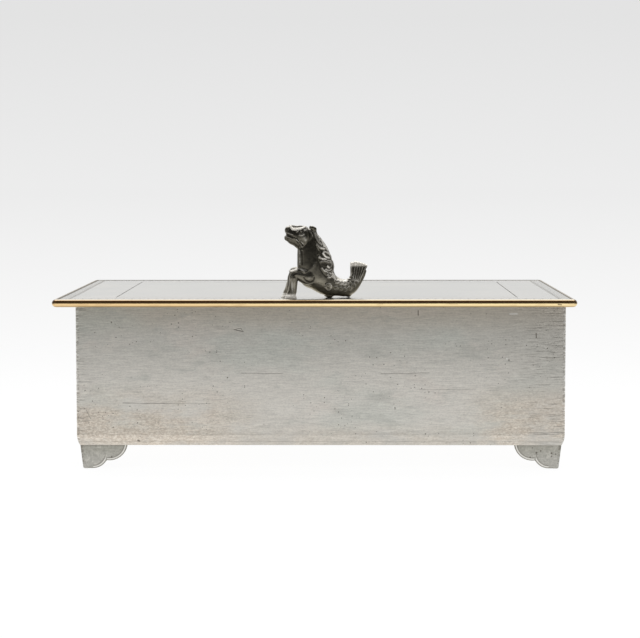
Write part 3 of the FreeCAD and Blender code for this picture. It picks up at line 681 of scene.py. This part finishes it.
# Relief, as it is seen from the front and as deep again on the hidden side: height, half
# breadth, and a line through points x and z. A height below nought is a groove.
RELIEF = [
    # mane
    (0.50, 0.42, [(-0.7, 31.3), (1.1, 28.9), (2.3, 27.1)]),
    (0.50, 0.42, [(0.3, 28.9), (2.0, 26.2), (3.2, 25.0)]),
    (0.50, 0.40, [(2.2, 28.1), (3.7, 26.3), (4.5, 24.3)]),
    (0.45, 0.42, [(1.2, 25.0), (2.9, 23.4), (4.7, 22.9)]),
    (0.55, 0.42, [(4.7, 24.4), (5.8, 22.4), (6.3, 20.9)]),
    (0.55, 0.40, [(4.1, 20.9), (5.3, 19.2), (6.9, 18.5)]),
    (0.45, 0.38, [(4.3, 21.5), (6.2, 21.1), (7.4, 19.7), (7.7, 18.1)]),
    (0.55, 0.38, [(2.3, 19.0), (3.6, 18.2), (5.4, 18.0)]),
    (0.45, 0.40, [(3.2, 16.9), (5.0, 17.1), (6.8, 16.3)]),
    (0.55, 0.40, [(5.9, 17.4), (7.4, 16.9), (7.9, 15.3), (7.0, 13.9), (6.2, 14.7)]),
    (0.45, 0.42, [(8.3, 17.2), (8.9, 14.7), (8.4, 12.4)]),
    (0.40, 0.40, [(3.5, 14.0), (4.7, 12.6), (6.2, 11.9)]),
    (0.45, 0.38, [(5.3, 13.3), (6.6, 12.7), (7.8, 13.2)]),
    (0.55, 0.34, [(6.2, 10.7), (6.9, 11.6), (7.7, 10.9), (7.0, 10.2), (6.3, 10.5)]),
    (0.55, 0.40, [(6.4, 9.7), (7.2, 9.3), (8.4, 9.9)]),
    (0.45, 0.42, [(8.3, 11.3), (9.3, 9.7), (9.6, 8.0)]),
    (0.30, 0.22, [(-1.4, 31.6), (0.2, 30.4), (1.7, 28.2), (2.6, 25.6), (2.9, 23.4)]),
    (0.30, 0.22, [(-1.6, 30.4), (-0.4, 28.4), (0.6, 26.4), (1.4, 24.2), (1.9, 22.6)]),
    (0.28, 0.20, [(1.2, 30.4), (3.2, 27.6), (4.4, 25.4), (5.3, 23.4)]),
    (0.28, 0.20, [(3.1, 24.8), (4.2, 22.8), (5.0, 21.6)]),
    (-0.25, 0.30, [(-0.9, 31.0), (-0.2, 28.6), (0.3, 26.2), (0.6, 24.1), (1.7, 22.4), (3.0, 20.4),
                   (1.8, 19.8), (1.6, 17.9), (2.6, 15.6), (2.9, 13.4), (4.3, 11.2), (5.8, 9.7)]),
    # crown, brow and eye
    (0.40, 0.34, [(-11.4, 34.3), (-11.1, 33.1), (-10.2, 32.3), (-8.7, 32.1), (-7.2, 32.3),
                  (-5.4, 32.8), (-4.2, 33.6)]),
    (0.40, 0.30, [(-10.9, 34.2), (-8.0, 34.5), (-5.0, 34.6)]),
    (-0.12, 0.30, [(-9.4, 33.3), (-7.0, 33.4), (-6.0, 33.7)]),
    (-0.45, 0.30, [(-7.2, 31.2), (-6.4, 31.8), (-5.5, 31.2), (-6.2, 30.4), (-7.1, 30.8)]),
    (0.30, 0.40, [(-6.5, 31.1), (-6.1, 31.1)]),
    (0.40, 0.36, [(-8.3, 31.2), (-7.5, 31.6)]),
    (0.30, 0.30, [(-7.2, 29.6), (-6.0, 29.3), (-4.9, 29.9)]),
    # cheek and jaw
    (-0.28, 0.36, [(-3.3, 32.6), (-2.6, 30.5), (-2.4, 28.6), (-2.9, 26.5), (-4.3, 24.6),
                   (-5.6, 23.2)]),
    (0.22, 1.40, [(-4.9, 28.4), (-4.5, 27.3)]),
    # muzzle
    (-0.32, 0.24, [(-14.2, 30.1), (-12.9, 29.8), (-11.4, 29.3), (-10.1, 28.6), (-9.2, 28.4)]),
    (0.25, 0.36, [(-13.6, 31.0), (-12.0, 30.4), (-10.5, 29.8)]),
    (0.20, 0.36, [(-13.8, 28.9), (-12.2, 28.5), (-10.6, 27.7)]),
    (-0.40, 0.32, [(-13.1, 32.5), (-12.6, 32.2)]),
    (-0.15, 0.30, [(-11.7, 33.6), (-11.5, 32.6), (-11.3, 31.6), (-10.6, 31.2)]),
    # folds of the throat, lines of the neck
    (0.35, 0.30, [(-7.3, 25.5), (-5.9, 24.3)]),
    (0.30, 0.30, [(-8.6, 27.6), (-7.4, 26.1)]),
    (0.30, 0.28, [(-6.4, 26.5), (-5.2, 25.2)]),
    (-0.30, 0.30, [(-8.2, 26.4), (-6.6, 24.8)]),
    (-0.25, 0.28, [(-6.8, 25.9), (-5.6, 24.8)]),
    (0.25, 0.45, [(-6.9, 22.3), (-6.7, 19.0), (-6.8, 15.6)]),
    (-0.20, 0.35, [(-5.9, 22.0), (-5.7, 19.0), (-5.8, 16.0)]),
    # shoulder, knee and elbow
    (0.16, 0.90, [(-4.2, 11.6), (-1.9, 13.3), (-0.4, 15.1), (0.3, 17.0)]),
    (0.40, 0.40, [(-11.2, 12.4), (-10.2, 12.3), (-8.6, 12.9), (-7.2, 13.4), (-5.9, 12.9),
                  (-4.7, 12.1)]),
    (-0.30, 0.40, [(-10.6, 11.2), (-8.6, 11.6), (-6.6, 11.9), (-4.6, 11.0), (-2.2, 12.4)]),
    (0.20, 1.30, [(-2.5, 9.6), (-2.3, 9.4)]),
    (-0.35, 0.35, [(-4.9, 9.6), (-4.1, 7.9), (-2.4, 7.0), (-0.6, 7.7), (0.0, 9.4)]),
    # hoof
    (0.35, 0.45, [(-13.6, 0.9), (-12.0, 0.5), (-10.2, 0.7)]),
    # ring on the flank
    (0.34, 0.36, [(5.1, 5.4), (6.0, 6.5), (7.5, 6.3), (8.1, 4.9), (7.4, 3.6), (6.0, 3.5),
                  (5.1, 4.6)]),
    (0.30, 0.40, [(6.5, 5.1), (6.9, 4.8)]),
    # shanks and hooves
    (0.28, 0.28, [(-11.6, 10.2), (-11.8, 7.0), (-12.4, 4.0), (-13.1, 1.9)]),
    (-0.28, 0.28, [(-11.0, 9.8), (-11.1, 6.5), (-11.6, 3.5), (-12.3, 1.9)]),
    (0.20, 0.40, [(-9.7, 9.2), (-9.6, 5.5), (-9.9, 2.4)]),
    (-0.30, 0.26, [(-14.6, 0.9), (-12.6, 1.3), (-10.2, 1.3), (-8.0, 1.0)]),
]

# Scales in rows along the back of the tail, and the ribs of the fin.
TAIL_LINE = [(10.2, 5.9), (12.0, 5.4), (13.9, 5.1), (15.7, 5.3), (17.2, 6.2), (18.4, 7.6)]
for number, (x, z) in enumerate(TAIL_LINE):
    ahead = Vector(TAIL_LINE[min(number + 1, 5)]) - Vector(TAIL_LINE[max(number - 1, 0)])
    ahead.normalize()
    across = Vector((-ahead.y, ahead.x))
    for row in (-1, 0, 1):
        middle = Vector((x, z)) + ahead * (0.9 if row else 0) + across * row * 1.5
        arc = [middle - ahead * 0.5 + across * 0.85, middle + ahead * 0.35 + across * 0.5,
               middle + ahead * 0.6, middle + ahead * 0.35 - across * 0.5,
               middle - ahead * 0.5 - across * 0.85]
        RELIEF.append((0.35, 0.28, arc))
for root_x, root_z, tip_x, tip_z, radius in FIN_RIBS:
    RELIEF.append((0.32, 0.30, [(root_x - 0.4, root_z - 0.8), (tip_x - 0.3, tip_z)]))


def press(mesh, lines, share=1.0):
    """Raise and sink a mesh along its normals, by its distance from lines drawn as it is seen."""
    count = len(mesh.vertices)
    places = numpy.empty(count * 3, dtype=numpy.float32)
    normals = numpy.empty(count * 3, dtype=numpy.float32)
    mesh.vertices.foreach_get("co", places)
    mesh.vertex_normals.foreach_get("vector", normals)
    places, normals = places.reshape(-1, 3), normals.reshape(-1, 3)
    off_middle = numpy.abs(places[:, 1])
    seen = numpy.stack([(places[:, 0] + off_middle * math.tan(HORSE_TURN)) * math.cos(HORSE_TURN),
                        places[:, 2] - off_middle * VIEW_TILT], axis=1)
    raised_and_highlit = numpy.zeros(count)
    sunk = numpy.zeros(count)
    for height, breadth, points in lines:
        course = [Vector(point) for point in between(points, 5)] if len(points) > 2 else [
            Vector(point) for point in points]
        low = numpy.min(course, axis=0) - 3 * breadth
        high = numpy.max(course, axis=0) + 3 * breadth
        near = numpy.nonzero(numpy.all((seen > low) & (seen < high), axis=1))[0]
        here = seen[near]
        distance = numpy.full(len(near), 1e9)
        for start, end in zip(course, course[1:]):
            start, step = numpy.array(start), numpy.array(end - start)
            along = numpy.clip((here - start) @ step / (step @ step), 0, 1)
            distance = numpy.minimum(
                distance, numpy.linalg.norm(here - start - along[:, None] * step, axis=1))
        strength = abs(height) * numpy.exp(-(distance / breadth) ** 2)
        target = raised_and_highlit if height > 0 else sunk
        target[near] = numpy.maximum(target[near], strength)
    facing = numpy.clip(numpy.abs(normals[:, 1]) * 2.5, 0.2, 1.0)
    change = (raised_and_highlit - sunk) * facing
    places += normals * change[:, None] * share
    mesh.vertices.foreach_set("co", places.ravel())
    return change


# The crown is filed to two flat facets that meet in a low ridge.
casting = bmesh.new()
casting.from_mesh(horse_mesh)
for vert in casting.verts:
    x, y, z = vert.co
    if BROW < x < BROW_BACK and z > CROWN_FROM:
        vert.co.z = min(z, CROWN_RIDGE - CROWN_SLOPE * abs(y))
casting.to_mesh(horse_mesh)
casting.free()

relief = press(horse_mesh, RELIEF)

# Painted highlights, drawn in the same way but not raised.
HIGHLIGHT_LINES = [
    (1.0, 0.52, [(-11.3, 34.2), (-11.1, 33.3), (-10.3, 32.5), (-8.7, 32.3), (-7.0, 32.6),
                 (-5.4, 33.1), (-4.2, 33.9)]),
    (1.0, 0.60, [(-11.2, 34.7), (-8.0, 35.1), (-4.5, 35.2)]),
    (0.7, 0.35, [(-13.4, 33.4), (-12.3, 34.0)]),
    (0.6, 0.40, [(-10.9, 12.5), (-9.8, 13.0), (-8.4, 13.2)]),
    (0.7, 0.45, [(9.0, 9.6), (9.9, 8.6)]),
    (0.9, 0.60, [(10.6, 8.2), (13.0, 7.6), (15.0, 7.6)]),
    (0.9, 0.60, [(-13.8, 0.3), (-9.4, 0.5)]),
    (0.7, 0.30, [(4.1, 20.9), (5.3, 19.2), (6.9, 18.5)]),
    (0.7, 0.30, [(3.6, 18.2), (5.4, 18.0)]),
    (0.7, 0.28, [(3.5, 26.9), (4.5, 24.3)]),
    (0.5, 0.35, [(-12.9, 8.5), (-13.3, 5.0)]),
    (0.5, 0.30, [(-10.9, 9.0), (-10.6, 5.0), (-10.4, 2.4)]),
]
# The relief, rubbed bright, and the painted highlights go into one attribute.
rubbed_and_highlit = horse_mesh.attributes.new("rubbed_and_highlit", "FLOAT", "POINT")
rubbed_and_highlit.data.foreach_set("value", relief + press(horse_mesh, HIGHLIGHT_LINES, 0.0))

# Its two pegs go down through the lid.
casting = bmesh.new()
casting.from_mesh(horse_mesh)
for peg_x, peg_y in PEGS:
    bmesh.ops.create_cone(casting, cap_ends=True, segments=32, radius1=PEG_RADIUS,
                          radius2=PEG_RADIUS, depth=PEG_LENGTH,
                          matrix=Matrix.Translation((peg_x, peg_y, PEG_MIDDLE)))
casting.to_mesh(horse_mesh)
casting.free()
horse_mesh.transform(Matrix.Translation(HORSE_PLACE) @ Matrix.Rotation(HORSE_TURN, 4, "Z")
                     @ Matrix.Diagonal(HORSE_SCALE).to_4x4())
horse_mesh.shade_smooth()
sea_horse = bpy.data.objects.new("sea_horse_casting", horse_mesh)
bpy.context.scene.collection.objects.link(sea_horse)


def remap(tree, value, start, end, low, high):
    """Run evenly from low to high while a value runs from start to end."""
    return add(tree, "MapRange", {"Value": value, "From Min": start, "From Max": end,
                                  "To Min": low, "To Max": high}).outputs["Result"]


cast_pewter, tree = new_material("cast_pewter")
place, x, y, z = millimetres(tree)
raised_and_highlit = add(tree, "Attribute", attribute_name="rubbed_and_highlit").outputs["Fac"]
facing = add(tree, "SeparateXYZ", {0: add(tree, "TexCoord").outputs["Normal"]}).outputs["Z"]
mottle = noise(tree, place, (0.45, 0.45, 0.45), 4.0, 0.65)

# Rubbed bright on the raised lines, unevenly; painted highlights on the highlight lines, on what
# faces up and on the fin's tips; bright solder at the forehoofs, lightened further as a painted
# highlight.
rubbing_and_highlights = calc(tree, "MULTIPLY_ADD", mottle, 0.25, raised_and_highlit)
uneven = calc(tree, "MULTIPLY_ADD", rise(
    tree, noise(tree, place, (0.30, 0.30, 0.30), 2.0), 0.46, 0.60), 0.52, 0.34)
solder_and_highlight = times(tree, rise(tree, z, 84.6, 84.0), rise(tree, x, -7.0, -8.0))
fin_tip_highlights = times(tree, rise(tree, z, 96.4, 97.8), rise(tree, x, 13.0, 14.0), 0.95)
bright = highest(tree, times(tree, rise(tree, rubbing_and_highlights, 0.20, 0.58), uneven),
                 rise(tree, rubbing_and_highlights, 0.62, 0.95), times(tree, rise(tree, facing, 0.30, 0.85), 0.45),
                 solder_and_highlight, fin_tip_highlights)

# Painted light and shade: the blackening is darkest on the upper body and lighter towards the
# hoofs, which mirror the bright lid. It is blackest in the grooves.
colour = coat(tree, DARK_PEWTER, GREY_PEWTER, rise(tree, mottle, 0.35, 0.65))
colour = toned(tree, colour, remap(tree, rise(tree, z, 96.0, 84.0), 0.0, 1.0, 0.60, 1.85))
colour = coat(tree, colour, RUBBED_AND_HIGHLIGHT_PEWTER, bright)
colour = coat(tree, colour, GROOVE_BLACK, rise(tree, raised_and_highlit, -0.02, -0.26), 0.65)
sand = noise(tree, place, (1.6, 1.6, 1.6), 4.0, 0.6)
# Less metallic where the rubbing and the painted highlights are bright.
less_metallic = highest(tree, solder_and_highlight, times(tree, bright, 0.72))
finish(tree, colour, times(tree, sand, 0.16), 0.5, calc(tree, "MULTIPLY_ADD", bright, -0.08, 0.34),
       calc(tree, "MULTIPLY_ADD", less_metallic, -0.8, 1.0), 0.2)
horse_mesh.materials.append(cast_pewter)
dress(["sea_horse"], cast_pewter)
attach(sea_horse, "lid")
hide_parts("sea_horse")


# Table and background
# A white table that runs on into a pale ground, as in a catalogue picture. Both are seen as
# white by the eye and by polished metal, and the table keeps the casket's shadow.
TABLE_RADIUS = 12.0
TABLE_LEVEL_FAR, TABLE_LEVEL_NEAR = 0.84, 1.035
TABLE_WHITE, TABLE_SHADOW = 0.86, 0.09
ROOM_FROM, ROOM_TO = -0.65, -1.50
ROOM_LIGHT, FILL_LIGHT, STUDIO_LIGHT = 0.05, 0.70, 0.80
GROUND_LOW, GROUND_HIGH = 0.842, 0.768

bpy.context.scene.view_settings.view_transform = "Standard"

table_form = bmesh.new()
bmesh.ops.create_circle(table_form, cap_ends=True, radius=TABLE_RADIUS, segments=64)
table_mesh = bpy.data.meshes.new("table")
table_form.to_mesh(table_mesh)
table_form.free()
table = bpy.data.objects.new("table", table_mesh)
bpy.context.scene.collection.objects.link(table)


def choose(tree, choice, first, second):
    """The first number where the choice is 0, the second where it is 1."""
    return add(tree, "Mix", {"Factor": choice, "A": first, "B": second},
               data_type="FLOAT").outputs["Result"]


# The table shines evenly where it is looked at, and a little of it is left to the shadow. A
# mirror in front of the casket would show its far side in the dark of the room.
table_white, tree = new_material("table_white")
path = add(tree, "LightPath").outputs
place = add(tree, "TexCoord").outputs["Object"]
ahead = add(tree, "SeparateXYZ", {0: place}).outputs["Y"]
shown = highest(tree, path["Is Camera Ray"], path["Is Glossy Ray"], path["Is Transmission Ray"])
distance = vector(tree, "DISTANCE", place, (0.0, -1.0, 0.0))
nearness = calc(tree, "DIVIDE", 1.0, calc(tree, "MAXIMUM", 0.5, distance))
level = remap(tree, nearness, 0.10, 0.95, TABLE_LEVEL_FAR, TABLE_LEVEL_NEAR)
shadowed = times(tree, rise(tree, vector(tree, "LENGTH", place), 0.60, 0.20), TABLE_SHADOW)
room = times(tree, path["Is Glossy Ray"], rise(tree, ahead, ROOM_FROM, ROOM_TO))
glow = times(tree, shown, calc(tree, "SUBTRACT", level, shadowed),
             calc(tree, "SUBTRACT", 1.0, room))
white = choose(tree, shown, TABLE_WHITE, shadowed)
shader = tree.nodes["Principled BSDF"].inputs
feed(tree, glow, shader["Emission Strength"])
feed(tree, add(tree, "CombineColor", {0: white, 1: white, 2: white}).outputs["Color"],
     shader["Base Color"])
feed(tree, (1, 1, 1, 1), shader["Emission Color"])
feed(tree, 0.9, shader["Roughness"])
feed(tree, 0.0, shader["Specular IOR Level"])
table_mesh.materials.append(table_white)

# The metal mirrors a pale room behind the casket and a dark one in front of it, which is a
# little lighter above and at the sides.
world = bpy.data.worlds.new("studio")
bpy.context.scene.world = world
world.use_nodes = True
tree = world.node_tree
path = add(tree, "LightPath").outputs
heading = add(tree, "SeparateXYZ", {0: add(tree, "TexCoord").outputs["Generated"]}).outputs
dark_room = calc(tree, "MULTIPLY_ADD", rise(tree, heading["Z"], 0.25, 0.60), 0.05, ROOM_LIGHT)
dark_room = calc(tree, "MULTIPLY_ADD", rise(
    tree, calc(tree, "ABSOLUTE", heading["X"]), 0.45, 0.90), 0.14, dark_room)
studio = remap(tree, heading["Y"], 0.08, 0.40, dark_room, STUDIO_LIGHT)
ground = remap(tree, heading["Z"], -0.012, 0.0753, GROUND_LOW, GROUND_HIGH)
lit = choose(tree, path["Is Glossy Ray"], FILL_LIGHT, studio)
background = tree.nodes["Background"].inputs
feed(tree, choose(tree, path["Is Camera Ray"], lit, ground), background["Strength"])
feed(tree, (1, 1, 1, 1), background["Color"])


# Studio light
# One broad soft light hangs over the table behind the casket, and makes the polished lid and
# moulding shine.
LIGHT_PLACE = (0.0, 1.15, 1.3)
LIGHT_WIDTH, LIGHT_DEPTH, LIGHT_WATTS = 1.8, 2.3, 15

overhead = bpy.data.lights.new("overhead", "AREA")
overhead.shape = "RECTANGLE"
overhead.size = LIGHT_WIDTH
overhead.size_y = LIGHT_DEPTH
overhead.energy = LIGHT_WATTS
light_stand = bpy.data.objects.new("overhead", overhead)
light_stand.location = LIGHT_PLACE
light_stand.rotation_euler = Vector((0, 0, -1)).to_track_quat("-Z", "Y").to_euler()
bpy.context.scene.collection.objects.link(light_stand)


# Camera
# It stands about a metre in front of the casket, a little higher than the lid, and looks
# slightly down on it.
CAMERA_PLACE = (0.01225, -0.99105, 0.14578)
CAMERA_DOWN, CAMERA_ROLL, CAMERA_LEFT = 4.563, 0.05, 0.592
LENS_LENGTH, SENSOR_WIDTH = 108.34, 36.0

camera_data = bpy.data.cameras.new("camera")
camera_data.sensor_width = SENSOR_WIDTH
camera_data.lens = LENS_LENGTH
camera = bpy.data.objects.new("camera", camera_data)
camera.location = CAMERA_PLACE
camera.rotation_euler = (math.radians(90 - CAMERA_DOWN), math.radians(CAMERA_ROLL),
                         math.radians(CAMERA_LEFT))
bpy.context.scene.collection.objects.link(camera)
bpy.context.scene.camera = camera
